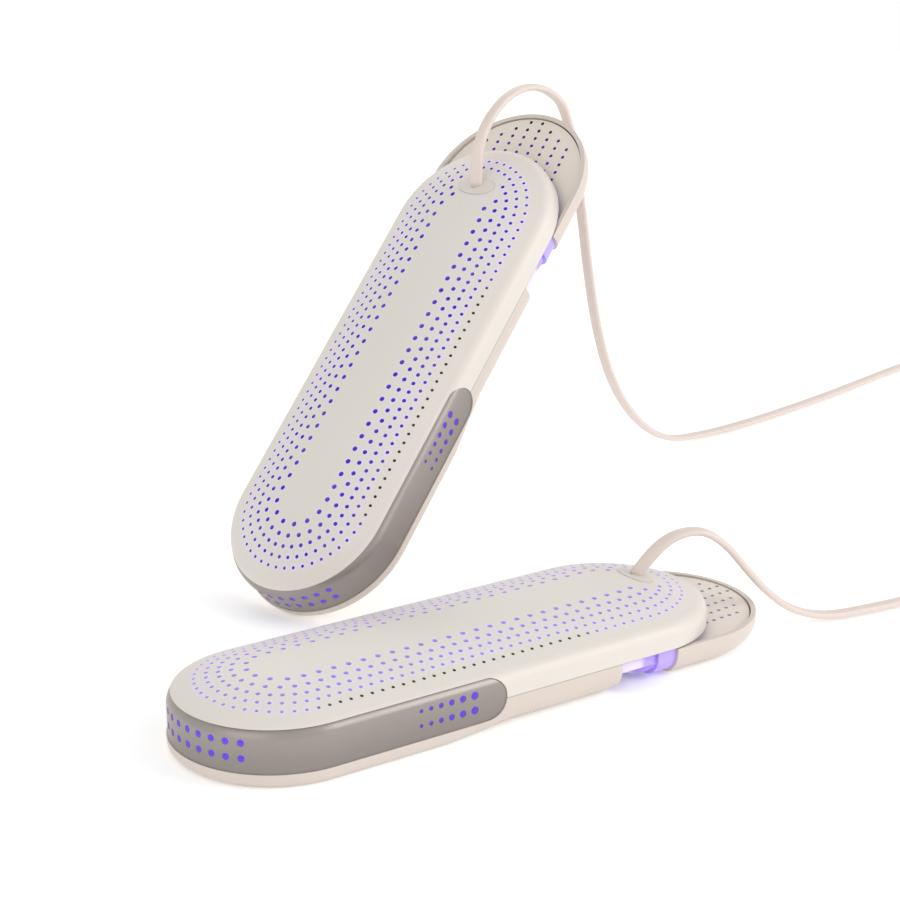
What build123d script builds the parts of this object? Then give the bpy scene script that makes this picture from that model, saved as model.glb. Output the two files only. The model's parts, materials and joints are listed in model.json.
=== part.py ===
"""A pair of heated, telescopic boot-dryer inserts on one shared two-core lead.

One insert lies flat and the other leans on its toe at 45 degrees.  Each insert is drawn once, in its own
frame: X runs from the toe (-) to the heel (+), Y across, Z up, and Z = 0 is its flat underside.
"""
from build123d import *
import math
import os

# ---------------------------------------------------------------- driving dimensions (mm)
ARC_X = 68.0            # centres of the outline's round ends, either side of the middle
HALF_W = 36.2           # half width of an insert
CROWN_Z = 26.5          # highest point of the domed cover
DOME_R = 89.4           # radius of the dome, across the insert
SHOULDER_R = 5.0        # rounding from the dome to the upright side
PARTING_Z = 11.2        # joint line between the cover and the parts below it
TOE_EDGE_R = 3.0        # rounding of the underside edge round the toe
REAR_EDGE_R = 8.8       # the same, behind the vent band and on the heel
BLEND_X = (-24.0, 2.0)  # the underside edge changes from one to the other along here
WALL = 1.8

BAND_Z = (4.8, 19.3)    # vent band slot, bottom and top
BAND_END_X = -9.4       # centre of the slot's round ends
BAND_INSET = 0.4        # the band's face sits this far inside the body's
BAND_GAP = 0.12         # clearance between the band's face and the slot's edge
BAND_DEPTH = 5.0        # nothing of the band goes further in than this from the outer sides
FLANGE_T = 1.3          # the flange behind the slot's edge: its thickness, and how far it reaches round

SHELL_END_X = 46.5      # the bottom shell stops here, and the sliding heel goes on
LAP_X = 37.0            # its wall is thin from here on, to take the heel's front lip
LAP_WALL = 0.7
END_EDGE_R = 4.5        # rounding of the bottom shell's rear edge

HEEL_TRAVEL = 24.0      # the heel slides in by this much
HEEL_ARC_X = ARC_X + HEEL_TRAVEL  # its round end, drawn out as far as it goes
HEEL_FRONT_X = 71.5     # front edge of the heel's outer shell
HEEL_RIM_Z = 10.8
LIP_X = 63.5            # front edge of the slide tray's lip
LIP_INSET = 1.0
LIP_T = 1.2
NOSE_R = 40.6           # the tray's front wall is an arc of this radius
NOSE_X = 46.0           # and its foremost point is here
PLATE_GAP = 0.5         # dark joint round the heel plate
PLATE_Z = (7.9, 10.4)   # top of the sloping heel plate, at its front and at its tip
PLATE_FRONT_X = 66.0

ROW_S = 133.2           # vent rows: distance between the centres of their round ends
ROWS = [                # radius of the row's ends, holes in a quarter, offset in pitches, hole diameter
    (28.0, 28, 0.5, 1.2),
    (24.1, 27, 0.0, 1.4),
    (20.1, 25, 0.5, 1.6),
    (15.9, 20, 0.0, 1.8),
    (11.3, 15, 0.5, 2.0),
]
GLAND_X, GLAND_Y = 80.5, -1.0
GLAND_A, GLAND_B = 4.6, 8.6         # half length and half width of the oval cord gland
GLAND_SEAT_Z = 24.0
GLAND_CLEAR = 2.6                   # no vent is nearer to the gland than about this
SIDE_VENT_X = (-35.9, -32.1, -28.2, -24.1, -19.7, -15.0)
SIDE_VENT_D = (1.4, 1.6, 1.9, 2.2, 2.5, 2.8)
VENT_ROWS_Z = (9.9, 15.1)
TOE_VENT_STEP = 8.3                 # degrees between the vents round the toe
TOE_VENT_SIDE = 5                   # vents each side of the middle one
TOE_VENT_D = 2.4
HEEL_VENT_ROWS = (2.9, 8.7, 14.5, 20.3)
HEEL_VENT_PITCH = 3.7
HEEL_VENT_COUNT = 7
HEEL_VENT_D = 1.5
HEEL_VENT_END = 126.0               # the middle rows would end here, and the outer ones sooner
HEEL_VENT_SLANT = 0.63

CORD_D = 4.0                        # round tube in place of the flat two-core cord of 4.8 by 2.8
CORD_Z = 2.1                        # middle of the cord where it lies on the surface

LEAN_ANGLE = 45.0                   # the leaning insert's slope
LEAN_HEADING = 16.8                 # and its direction seen from above
LEAN_AT = (61.4, 114.9, 72.45)      # its frame's origin, from the lying insert's
PAIR_MIDDLE = (21.2, 65.7)          # middle of the two inserts' box, from the lying insert's frame

# the surface beyond the two inserts, where the spare cord lies: its origin and its first direction
YARD_AT = (184.7, -32.9)
YARD_ALONG = (0.727, 0.687)
EXIT = (GLAND_X, GLAND_Y, 25.3)     # where each cord leaves its gland
SPLITTER = (284.0, 127.0)           # in the yard: middle of the splitter
SPLITTER_SIZE = (32.0, 17.0, 8.0)
LEG_GAP = 4.6                       # between the two thin leads where they enter it
COIL = (200.0, 100.0)               # middle of the coil
COIL_R = 27.5                       # radius to the middle of its turns
COIL_W, COIL_H = 15.5, 9.6
TIE_GAP, TIE_T, TIE_W = 0.6, 1.0, 8.0
COIL_LIFT = COIL_H / 2 + TIE_GAP + TIE_T
PLUG = (146.0, 127.5)               # where the cord enters the plug
PLUG_Z = 7.2
PIN_R, PIN_L = 2.0, 19.0            # radius and length of a plug pin
PIN_Y = 9.3                         # each side of the plug's middle

# where the inner pieces are fixed
CASE_SCREWS = [(-88, 0), (-62, 26), (-62, -26), (13, 26), (13, -26)]
BOARD_SCREWS = [(x, y) for x in (-52.5, 52.5) for y in (-5, 5)]
HEATER_SCREWS = [(x, y) for x in (-53, 5) for y in (-17, 17)]
CLAMP_SCREWS = [(GLAND_X - 10, GLAND_Y + side * 7) for side in (-1, 1)]
HEEL_SCREWS = [(119, 0), (90, 25), (90, -25)]
BOSS_LOW_Z = 4.2                    # bottom of the cover's long screw posts
HEEL_BOSS_Z = 3.5                   # top of the heel shell's screw posts
BOARD_Z = (16.6, 18.0)
CLAMP_Z = (13.8, 16.2)
HEATER_X = (-57, 9)
MICA_Z = (3.2, 4.0)
PLATE_BASE_Z = (6.2, 7.4)           # the heater's base plate

# the tray's guides
RAIL_Y = (29.6, 33.6)
RAIL_X = (1, 66)
RIB_T = 1.0
RIB_Z = 13.0
ARM_X = 24.0                        # front end of the tray's arms
TRAY_Z = (2.3, HEEL_RIM_Z)
DETENT_X = (42.4, 44.8)             # window for the detent spring's finger


# ---------------------------------------------------------------- the insert's outer form
def on_circle(centre, radius, angle):
    """Point at an angle (degrees) from straight up, in a section plane."""
    a = math.radians(angle)
    return (centre[0] + radius * math.sin(a), centre[1] + radius * math.cos(a))


DOME_C = (0.0, CROWN_Z - DOME_R)
SHOULDER_ANGLE = math.degrees(math.asin((HALF_W - SHOULDER_R) / (DOME_R - SHOULDER_R)))
SHOULDER_C = on_circle(DOME_C, DOME_R - SHOULDER_R, SHOULDER_ANGLE)


def half_outline(inset, edge_r):
    """Edges of half a cross-section, from the crown round to the middle of the underside."""
    r = max(edge_r - inset, 0.4)
    side = HALF_W - inset
    corner = (side - r, inset + r)
    dome, shoulder = DOME_R - inset, SHOULDER_R - inset
    half_way = (SHOULDER_ANGLE + 90) / 2
    dome_end = on_circle(DOME_C, dome, SHOULDER_ANGLE)
    side_top = on_circle(SHOULDER_C, shoulder, 90)
    return [
        ("arc", (0, CROWN_Z - inset), on_circle(DOME_C, dome, SHOULDER_ANGLE / 2), dome_end),
        ("arc", dome_end, on_circle(SHOULDER_C, shoulder, half_way), side_top),
        ("line", side_top, (side, corner[1])),
        ("arc", (side, corner[1]), on_circle(corner, r, 135), (corner[0], inset)),
        ("line", (corner[0], inset), (0, inset)),
    ]


def draw(edges, plane_point):
    """Turn (kind, points...) rows into edges, through a function that places a 2-D point."""
    made = []
    for kind, *points in edges:
        placed = [plane_point(*p) for p in points]
        made.append(ThreePointArc(*placed) if kind == "arc" else Line(*placed))
    return made


def half_face(inset, edge_r):
    edges = half_outline(inset, edge_r) + [("line", (0, inset), (0, CROWN_Z - inset))]
    return Face(Wire(draw(edges, lambda r, z: (r, 0, z))))


def full_face(inset, edge_r, x):
    """Whole cross-section, at a place along the insert."""
    right = half_outline(inset, edge_r)
    left = [(kind, *[(-r, z) for r, z in reversed(points)]) for kind, *points in reversed(right)]
    return Face(Wire(draw(right + left, lambda y, z: (x, y, z))))


def block(x, y, z):
    """Box from its (low, high) limits along each axis."""
    size = (x[1] - x[0], y[1] - y[0], z[1] - z[0])
    return Pos(sum(x) / 2, sum(y) / 2, sum(z) / 2) * Box(*size)


def post(x, y, z, radius):
    """Upright cylinder from z[0] to z[1]."""
    return Pos(x, y, sum(z) / 2) * Cylinder(radius, z[1] - z[0])


def body(inset):
    """The insert's whole closed form, its faces moved inwards by inset."""
    toe = Pos(-ARC_X, 0, 0) * revolve(half_face(inset, TOE_EDGE_R), Axis.Z, 360)
    front = extrude(full_face(inset, TOE_EDGE_R, -ARC_X), BLEND_X[0] + ARC_X, dir=(1, 0, 0))
    ends = [full_face(inset, TOE_EDGE_R, BLEND_X[0]), full_face(inset, REAR_EDGE_R, BLEND_X[1])]
    blend = loft(ends, ruled=True)
    rear = extrude(full_face(inset, REAR_EDGE_R, BLEND_X[1]), ARC_X - BLEND_X[1], dir=(1, 0, 0))
    heel = Pos(ARC_X, 0, 0) * revolve(half_face(inset, REAR_EDGE_R), Axis.Z, 360)
    return toe + front + blend + rear + heel


def heel_body(inset, front_x):
    """The rear of the same form, moved out to where the heel is, from front_x on and up to its rim."""
    heel = Pos(HEEL_ARC_X, 0, 0) * revolve(half_face(inset, REAR_EDGE_R), Axis.Z, 360)
    if front_x < HEEL_ARC_X:
        heel += extrude(full_face(inset, REAR_EDGE_R, front_x), HEEL_ARC_X - front_x, dir=(1, 0, 0))
    return heel & block((front_x, 200), (-60, 60), (-1, HEEL_RIM_Z))


BODY = {inset: body(inset) for inset in (0.0, BAND_INSET, WALL - 0.3, WALL)}
ABOVE = block((-200, 200), (-60, 60), (PARTING_Z, 60))
BELOW = block((-200, SHELL_END_X), (-60, 60), (-1, PARTING_Z))


def slot_prism(grow):
    """The vent band's opening through both sides and the toe, larger by grow all round."""
    middle, radius = sum(BAND_Z) / 2, (BAND_Z[1] - BAND_Z[0]) / 2 + grow
    straight = block((-150, BAND_END_X), (-60, 60), (middle - radius, middle + radius))
    return straight + Pos(BAND_END_X, 0, middle) * Rot(90, 0, 0) * Cylinder(radius, 120)


# ---------------------------------------------------------------- vents
def row_point(radius, distance):
    """Point of a vent row, in the quarter with X and Y positive, by the distance from mid length."""
    if distance <= ROW_S / 2:
        return (distance, radius)
    angle = (distance - ROW_S / 2) / radius
    return (ROW_S / 2 + radius * math.sin(angle), radius * math.cos(angle))


def in_gland(x, y):
    """Whether a vent would run into the cord gland."""
    return ((x - GLAND_X) / (GLAND_A + GLAND_CLEAR)) ** 2 + ((y - GLAND_Y) / (GLAND_B + GLAND_CLEAR)) ** 2 < 1


def cover_vents():
    places = set()
    for radius, count, offset, diameter in ROWS:
        pitch = (ROW_S / 2 + math.pi * radius / 2) / (count - 0.5 + offset)
        for k in range(count):
            x, y = row_point(radius, (k + offset) * pitch)
            for sx in (-1, 1):
                for sy in (-1, 1):
                    places.add((round(sx * x, 4) + 0.0, round(sy * y, 4) + 0.0, diameter))
    kept = sorted(p for p in places if not in_gland(p[0], p[1]))
    return [post(x, y, (17, 28), d / 2) for x, y, d in kept]


def band_vents():
    cutters = []
    for z in VENT_ROWS_Z:
        for x, d in zip(SIDE_VENT_X, SIDE_VENT_D):
            cutters.append(Pos(x, 0, z) * Rot(90, 0, 0) * Cylinder(d / 2, 100))
        for k in range(-TOE_VENT_SIDE, TOE_VENT_SIDE + 1):
            turn = Pos(-ARC_X, 0, z) * Rot(0, 0, 180 + k * TOE_VENT_STEP)
            cutters.append(turn * Pos(HALF_W, 0, 0) * Rot(0, 90, 0) * Cylinder(TOE_VENT_D / 2, 12))
    return cutters


def heel_vents():
    cutters = []
    for y in HEEL_VENT_ROWS:
        end = HEEL_VENT_END - HEEL_VENT_SLANT * y
        for k in range(HEEL_VENT_COUNT):
            for side in (-1, 1):
                cutters.append(post(end - k * HEEL_VENT_PITCH, side * y, (0, 16), HEEL_VENT_D / 2))
    return cutters


def top_cover():
    cover = (BODY[0.0] & ABOVE) - BODY[WALL] - slot_prism(0) - cover_vents()
    lining = BODY[WALL - 0.3]
    for places, low, radius in (
        (CASE_SCREWS, BOSS_LOW_Z, 2.9), (BOARD_SCREWS, BOARD_Z[1], 2.2), (CLAMP_SCREWS, CLAMP_Z[1], 2.4),
    ):
        for x, y in places:
            cover += post(x, y, (low, 40), radius) & lining
            cover -= post(x, y, (low - 1, low + 9 if low < 10 else low + 3.4), radius - 1.6)
    cover -= oval(GLAND_A - 0.9, GLAND_B - 0.9, (15, 40))
    return cover - oval(GLAND_A, GLAND_B, (GLAND_SEAT_Z, 40))


def oval(a, b, z):
    """Upright oval prism at the gland."""
    face = Pos(GLAND_X, GLAND_Y, z[0]) * Ellipse(a, b)
    return extrude(face, z[1] - z[0], dir=(0, 0, 1))


def bottom_shell():
    shell = (BODY[0.0] & BELOW) - BODY[WALL]
    keep = block((SHELL_END_X - END_EDGE_R, SHELL_END_X), (-60, 60), (0, END_EDGE_R))
    keep -= Pos(SHELL_END_X - END_EDGE_R, 0, END_EDGE_R) * Rot(90, 0, 0) * Cylinder(END_EDGE_R, 120)
    shell -= keep
    shell -= rear_form(LAP_WALL) & block((LAP_X, 60), (-60, 60), (0, 40))
    for x, y in CASE_SCREWS:
        shell += post(x, y, (0.5, BOSS_LOW_Z - 0.1), 3.4)
        shell -= post(x, y, (-1, 2.4), 2.5) + post(x, y, (-1, 8), 1.5)
    for x in (-45, -24, -3):
        shell += block((x - 1, x + 1), (-19, 19), (WALL - 0.2, MICA_Z[0]))
    for x, y in HEATER_SCREWS:
        shell += post(x, y, (WALL - 0.2, MICA_Z[0]), 2.6)
        shell -= post(x, y, (1.0, 8), 1.0)
    return shell - slot_prism(0)


def rear_form(inset):
    """A prism of the rear cross-section, for the lap at the end of the bottom shell."""
    return extrude(full_face(inset, REAR_EDGE_R, 20), 60, dir=(1, 0, 0))


def vent_band():
    """Band in the slot, flush with the sides, and its flange behind the slot's edge."""
    core = body(WALL + 0.1 + FLANGE_T)
    reach = HALF_W - BAND_DEPTH
    under_dome = block((-ARC_X, 60), (-reach, reach), (0, 30)) + post(-ARC_X, 0, (0, 30), reach)
    face_ring = BODY[BAND_INSET] - core
    flange_ring = body(WALL + 0.15) - core
    band = (face_ring & slot_prism(-BAND_GAP)) + (flange_ring & slot_prism(FLANGE_T))
    return band - under_dome - band_vents()


def cord_gland():
    """Oval insert in the cover, a little proud of it, with the cord's oval way through."""
    gland = oval(GLAND_A - 0.1, GLAND_B - 0.1, (GLAND_SEAT_Z, 40)) & body(-0.25)
    gland += oval(GLAND_A - 1.0, GLAND_B - 1.0, (18.5, GLAND_SEAT_Z + 0.2))
    return gland - post(GLAND_X, GLAND_Y, (18, 23.4), 2.2)


def screw(x, y, z_head, z_tip, head_r, shank_r, head_h):
    """Screw with its head at z_head; its tip may be above or below."""
    way = 1 if z_tip > z_head else -1
    head = post(x, y, sorted((z_head, z_head + way * head_h)), head_r)
    slot = block((x - head_r * 0.7, x + head_r * 0.7), (y - 0.25, y + 0.25),
                 sorted((z_head - way * 0.1, z_head + way * 0.6)))
    cross = Pos(x, y, 0) * Rot(0, 0, 90) * Pos(-x, -y, 0) * slot
    return head + post(x, y, sorted((z_head, z_tip)), shank_r) - slot - cross


def screws(places, *sizes):
    return [screw(x, y, *sizes) for x, y in places]


def led_board():
    board = extrude(Pos(0, 0, BOARD_Z[0]) * SlotCenterToCenter(104, 34), BOARD_Z[1] - BOARD_Z[0], dir=(0, 0, 1))
    return board - [post(x, y, (10, 30), 1.1) for x, y in BOARD_SCREWS]


def leds():
    made = []
    for x in range(-60, 61, 15):
        for y in (-6.5, 6.5):
            chip = block((x - 1.5, x + 1.5), (y - 1.5, y + 1.5), (BOARD_Z[1], BOARD_Z[1] + 0.9))
            lens = Pos(x, y, BOARD_Z[1] + 0.9) * Cylinder(1.1, 1.2)
            made.append(chip + lens)
    return made


def board_parts():
    """Rectifier, dropper capacitor, smoothing capacitor and choke under the light board."""
    top = BOARD_Z[0]
    return [
        block((-34, -27), (-3, 3), (top - 2.6, top)),
        block((22, 35), (-5.5, 5.5), (top - 5.2, top)),
        Pos(44, 0, top - 2.6) * Rot(90, 0, 0) * Cylinder(2.5, 11),
        post(58, 0, (top - 4.0, top), 3.4),
    ]


def heater_fins():
    base = block(HEATER_X, (-19.5, 19.5), PLATE_BASE_Z)
    for k in range(12):
        x = -50 + 3.9 * k
        base += block((x - 0.4, x + 0.4), (-14.5, 14.5), (PLATE_BASE_Z[1] - 0.1, 13.2))
    return base - [post(x, y, (0, 20), 1.2) for x, y in HEATER_SCREWS]


def ptc_elements():
    """Three ceramic heating slabs between the insulation sheet and the base plate."""
    return [block((x - 8, x + 8), (-14, 14), (MICA_Z[1], PLATE_BASE_Z[0])) for x in (-42, -24, -6)]


def insulation_sheet():
    sheet = block((HEATER_X[0] - 1, HEATER_X[1] + 1), (-21, 21), MICA_Z)
    return sheet - [post(x, y, (0, 20), 1.3) for x, y in HEATER_SCREWS]


def thermostat():
    """Snap-disc switch with its two blades, on the heater's base plate."""
    z = PLATE_BASE_Z[1]
    disc = post(3, 9, (z, z + 3.4), 4.2) + post(3, 9, (z + 3.4, z + 5.2), 2.6)
    for side in (-1, 1):
        disc += block((3 - 1, 3 + 1), (9 + side * 3.4 - 0.4, 9 + side * 3.4 + 0.4), (z + 3.0, z + 6.4))
    return disc


def thermal_fuse():
    z = PLATE_BASE_Z[1] + 1.7
    can = Pos(3, -8, z) * Rot(90, 0, 0) * Cylinder(1.6, 9)
    return can + Pos(3, -8, z) * Rot(90, 0, 0) * Cylinder(0.45, 16)


def cord_clamp():
    """Bar that grips the cord under the gland, screwed to two posts of the cover."""
    bar = block((GLAND_X - 12.6, GLAND_X + 3), (GLAND_Y - 9.4, GLAND_Y + 9.4), CLAMP_Z)
    bar -= [post(x, y, (0, 40), 1.3) for x, y in CLAMP_SCREWS]
    return bar - post(GLAND_X, GLAND_Y, (0, 40), 2.3)


def tube(points, diameter, name=None):
    """Round tube along straight runs joined by the largest tangent arcs that they allow."""
    points = [Vector(*p) for p in points]
    radii = []
    for before, at, after in zip(points, points[1:], points[2:]):
        turn = math.radians((at - before).get_angle(after - at))
        shorter = min((at - before).length, (after - at).length)
        radii.append(0.45 * shorter / math.tan(turn / 2))
    path = FilletPolyline(*points, radius=radii)
    made = sweep(Plane(path @ 0, z_dir=path % 0) * Circle(diameter / 2), path=path)
    if name:
        even = math.pi * diameter ** 2 / 4 * path.length
        print(f"{name}: length {path.length:.0f} mm, radii", [round(r) for r in radii],
              f"volume over section x length {made.volume / even:.4f}")
    return made


def wiring():
    """Insulated wires from the clamp to the board, the switch, the fuse and the heater."""
    x0, y0, z0 = GLAND_X, GLAND_Y, CLAMP_Z[0] - 0.9
    routes = [
        [(x0 - 1, y0 + 1, z0), (74, 3, 12.2), (66, 2.5, 12.6), (60, 7, 15.9)],
        [(x0 + 1, y0 - 1, z0), (74, -4, 12.2), (66, -5, 12.6), (59, -10, 15.9)],
        [(x0, y0 + 1.5, z0), (70, 12, 13.2), (40, 18, 13.4), (18, 16, 13.6), (3, 12.4, 14.5)],
        [(x0, y0 - 1.5, z0), (70, -14, 13.2), (40, -20, 13.4), (16, -18, 12.0), (3, -16.9, 9.1)],
    ]
    return [tube(route, 1.2) for route in routes]


# ---------------------------------------------------------------- the sliding heel
def nose_wall(z):
    """The tray's curved front wall."""
    centre = NOSE_X + NOSE_R
    ring = post(centre, 0, z, NOSE_R) - post(centre, 0, (z[0] - 1, z[1] + 1), NOSE_R - 1.6)
    return ring & block((NOSE_X - 1, 68), (-33.8, 33.8), z)


def slide_tray():
    """Tray that carries the heel: a lip, two side arms with ribs, a curved front wall and a sleeve."""
    lip = heel_body(LIP_INSET, LIP_X) - heel_body(LIP_INSET + LIP_T, LIP_X - 1)
    lip &= block((LIP_X, HEEL_FRONT_X), (-60, 60), (0, HEEL_RIM_Z))
    collar = heel_body(LIP_INSET, HEEL_FRONT_X - 1.6) - heel_body(WALL + 1.4, HEEL_FRONT_X - 3)
    collar &= block((HEEL_FRONT_X - 1.6, HEEL_FRONT_X - 0.05), (-60, 60), (0, HEEL_RIM_Z))
    sleeve = heel_body(WALL + 0.1, HEEL_FRONT_X - 0.6) - heel_body(WALL + 1.4, HEEL_FRONT_X - 3)
    sleeve &= block((HEEL_FRONT_X - 0.6, HEEL_FRONT_X + 12), (-60, 60), (0, 4.9))
    tray = lip + collar + sleeve + (nose_wall(TRAY_Z) & rear_form(WALL + 0.4))
    for side in (-1, 1):
        outer, inner = side * (RAIL_Y[1] + 0.2), side * (RAIL_Y[1] - 1.4)
        rib = side * sum(RAIL_Y) / 2
        tray += block((ARM_X, 68), sorted((outer, inner)), (6.6, HEEL_RIM_Z))
        tray += block((ARM_X, 68), sorted((rib - side * 1.2, outer)), (HEEL_RIM_Z - 1.4, HEEL_RIM_Z))
        tray += block((ARM_X, 66), sorted((rib - RIB_T / 2, rib + RIB_T / 2)), (HEEL_RIM_Z - 1.0, RIB_Z))
    return tray


def guide_rails():
    """Two channels under the cover: the tray's ribs run in them."""
    rails = []
    for side in (-1, 1):
        channel = block(RAIL_X, sorted((side * RAIL_Y[0], side * RAIL_Y[1])), (PARTING_Z, RIB_Z + 1.6))
        middle = side * sum(RAIL_Y) / 2
        half = RIB_T / 2 + 0.3
        channel -= block((RAIL_X[0] - 1, RAIL_X[1] + 1), (middle - half, middle + half), (0, RIB_Z + 0.3))
        window = sorted((side * (RAIL_Y[0] - 1), side * (RAIL_Y[0] + 1.4)))
        rails.append(channel - block(DETENT_X, window, (11.6, 13.2)))
    return rails


def detent_springs():
    """Leaf springs on the channels: a finger of each reaches through a window towards the tray's rib."""
    springs = []
    for side in (-1, 1):
        face = side * RAIL_Y[0]
        leaf = block((24, 46), sorted((face, face - side * 0.4)), (11.5, 14.4))
        finger = block((DETENT_X[0] + 0.6, DETENT_X[1] - 0.6), sorted((face, face + side * 1.2)), (11.9, 12.9))
        springs.append(leaf + finger)
    return springs


def heel_shell():
    shell = heel_body(0, HEEL_FRONT_X) - heel_body(WALL, HEEL_FRONT_X - 5)
    shell -= block((0, 200), (-60, 60), (HEEL_RIM_Z - 0.001, 40))
    for x, y in HEEL_SCREWS:
        shell += post(x, y, (0.5, HEEL_BOSS_Z), 3.2)
        shell -= post(x, y, (-1, 2.0), 2.1) + post(x, y, (-1, 8), 1.1)
    return shell


def plate_z(x):
    """Height of the heel plate's top, at a place along the insert."""
    low, high = PLATE_FRONT_X, HEEL_ARC_X + HALF_W
    return PLATE_Z[0] + (PLATE_Z[1] - PLATE_Z[0]) * (x - low) / (high - low)


def heel_plate():
    """Sloping perforated plate inside the heel's rim."""
    tip = HEEL_ARC_X + HALF_W + 5
    top = [(PLATE_FRONT_X, plate_z(PLATE_FRONT_X)), (tip, plate_z(tip))]
    side = Polyline((top[0][0], 0, top[0][1]), (top[1][0], 0, top[1][1]),
                    (top[1][0], 0, top[1][1] - 1.6), (top[0][0], 0, top[0][1] - 1.6), close=True)
    slab = extrude(Face(Wire(side.edges())), 50, dir=(0, 1, 0), both=True)
    outline = post(HEEL_ARC_X, 0, (0, 20), HALF_W - WALL - PLATE_GAP)
    half = HALF_W - WALL - PLATE_GAP
    outline += block((HEEL_FRONT_X + 1, HEEL_ARC_X), (-half, half), (0, 20))
    plate = slab & outline & heel_body(WALL + 0.35, HEEL_FRONT_X)
    plate -= heel_vents()
    for x, y in HEEL_SCREWS:
        plate += post(x, y, (HEEL_BOSS_Z + 0.1, plate_z(x) - 0.8), 2.4)
        plate -= post(x, y, (0, plate_z(x) - 1.4), 0.9)
    return plate


def insert_pieces():
    """Every piece of one insert, in its own frame; the last four slide together."""
    return {
        "top_cover": top_cover(),
        "bottom_shell": bottom_shell(),
        "vent_band": vent_band(),
        "cord_gland": cord_gland(),
        "cord_clamp": cord_clamp(),
        "clamp_screws": screws(CLAMP_SCREWS, CLAMP_Z[0] - 1.2, CLAMP_Z[1] + 3.0, 1.9, 0.75, 1.2),
        "case_screws": screws(CASE_SCREWS, 0.9, 12.0, 2.3, 1.2, 1.4),
        "led_board": led_board(),
        "leds": leds(),
        "board_parts": board_parts(),
        "board_screws": screws(BOARD_SCREWS, BOARD_Z[0] - 1.0, BOARD_Z[1] + 3.0, 1.7, 0.55, 1.0),
        "insulation_sheet": insulation_sheet(),
        "ptc_elements": ptc_elements(),
        "heater_fins": heater_fins(),
        "heater_screws": screws(HEATER_SCREWS, PLATE_BASE_Z[1] + 1.0, 1.2, 1.8, 0.95, 1.0),
        "thermostat": thermostat(),
        "thermal_fuse": thermal_fuse(),
        "wiring": wiring(),
        "guide_rails": guide_rails(),
        "detent_springs": detent_springs(),
        "slide_tray": slide_tray(),
        "heel_shell": heel_shell(),
        "heel_plate": heel_plate(),
        "heel_screws": [screw(x, y, 0.6, plate_z(x) - 1.6, 1.9, 0.85, 1.3) for x, y in HEEL_SCREWS],
    }


# ---------------------------------------------------------------- the shared lead
def yard(s, d, z=CORD_Z):
    """Point on the surface beyond the inserts: s along it and d out from it."""
    ax, ay = YARD_ALONG
    return (YARD_AT[0] + s * ax + d * ay, YARD_AT[1] + s * ay - d * ax, z)


LEANING = Pos(*LEAN_AT) * Rot(0, 0, LEAN_HEADING) * Rot(0, -LEAN_ANGLE, 0)


def leaning(x, y, z):
    """A point of the leaning insert's frame, from the lying insert's."""
    return tuple((LEANING * Pos(x, y, z)).position)


LYING_ROUTE = [
    EXIT, (85.0, -4.0, 33.5), (92.5, -7.6, 40.5), (103.0, -11.5, 41.5), (112.0, -14.8, 34.5),
    (119.5, -17.5, 24.5), (127.5, -20.3, 14.8), (137.0, -23.8, 6.5), (151.0, -27.8, CORD_Z),
    (168.0, -31.0, CORD_Z), yard(3, 4), yard(24, 26), yard(56, 42), yard(100, 49), yard(150, 51),
    yard(200, 49), yard(250, 46), yard(298, 48), yard(332, 62), yard(347, 88), yard(340, 112),
    yard(318, SPLITTER[1] - LEG_GAP / 2, 3.4),
    yard(SPLITTER[0] + SPLITTER_SIZE[0] / 2, SPLITTER[1] - LEG_GAP / 2, SPLITTER_SIZE[2] / 2),
]
LEANING_ROUTE = [
    leaning(*EXIT), leaning(85.5, -2.5, 33.5), leaning(94, -3.2, 39.5), leaning(105, -3.8, 41.0),
    leaning(117, -4.0, 38.0), leaning(128, -4.0, 30.0), leaning(135.5, -4.0, 18.0), leaning(138.5, -4.0, 2.0),
    (166.5, 143.0, 128.0), (172.5, 145.3, 100.0), (181.0, 148.3, 70.0), (194.0, 153.0, 44.0),
    (214.0, 160.0, 22.0), (240.0, 169.0, 6.0), (268.0, 175.5, CORD_Z), (300.0, 178.0, CORD_Z),
    (335.0, 184.5, CORD_Z), (370.0, 192.0, CORD_Z), (405.0, 201.0, CORD_Z), yard(358, 2), yard(388, 22),
    yard(406, 54), yard(402, 88), yard(380, 116), yard(346, 128.5),
    yard(320, SPLITTER[1] + LEG_GAP / 2, 3.6),
    yard(SPLITTER[0] + SPLITTER_SIZE[0] / 2, SPLITTER[1] + LEG_GAP / 2, SPLITTER_SIZE[2] / 2),
]
MAIN_ROUTE = [
    yard(SPLITTER[0] - SPLITTER_SIZE[0] / 2, SPLITTER[1], SPLITTER_SIZE[2] / 2),
    yard(254, SPLITTER[1], SPLITTER_SIZE[2] / 2), yard(238, 127.4, 2.9),
    yard(COIL[0] + 16, COIL[1] + COIL_R, 2.4),
]
TAIL_ROUTE = [
    yard(COIL[0] - 16, COIL[1] + COIL_R, 6.8), yard(172, 127.6, 7.0), yard(158, PLUG[1], PLUG_Z),
    yard(PLUG[0], PLUG[1], PLUG_Z),
]


def along_yard(s, d, z):
    """Frame at a point of the yard, X back along it, towards the plug."""
    heading = math.degrees(math.atan2(YARD_ALONG[1], YARD_ALONG[0])) + 180
    return Pos(*yard(s, d, z)) * Rot(0, 0, heading)


def splitter():
    """Moulded Y where the two thin leads join the main one."""
    length, width, height = SPLITTER_SIZE
    wide, narrow = Rectangle(width, height), Rectangle(7.5, 7.0)
    wide, narrow = fillet(wide.vertices(), 3.2), fillet(narrow.vertices(), 2.8)
    across = Plane(origin=(0, 0, 0), x_dir=(0, 1, 0), z_dir=(1, 0, 0))
    rear = across.offset(-length / 2) * wide
    front = across.offset(length / 2) * narrow
    return along_yard(*SPLITTER, height / 2) * loft([rear, front])


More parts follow.
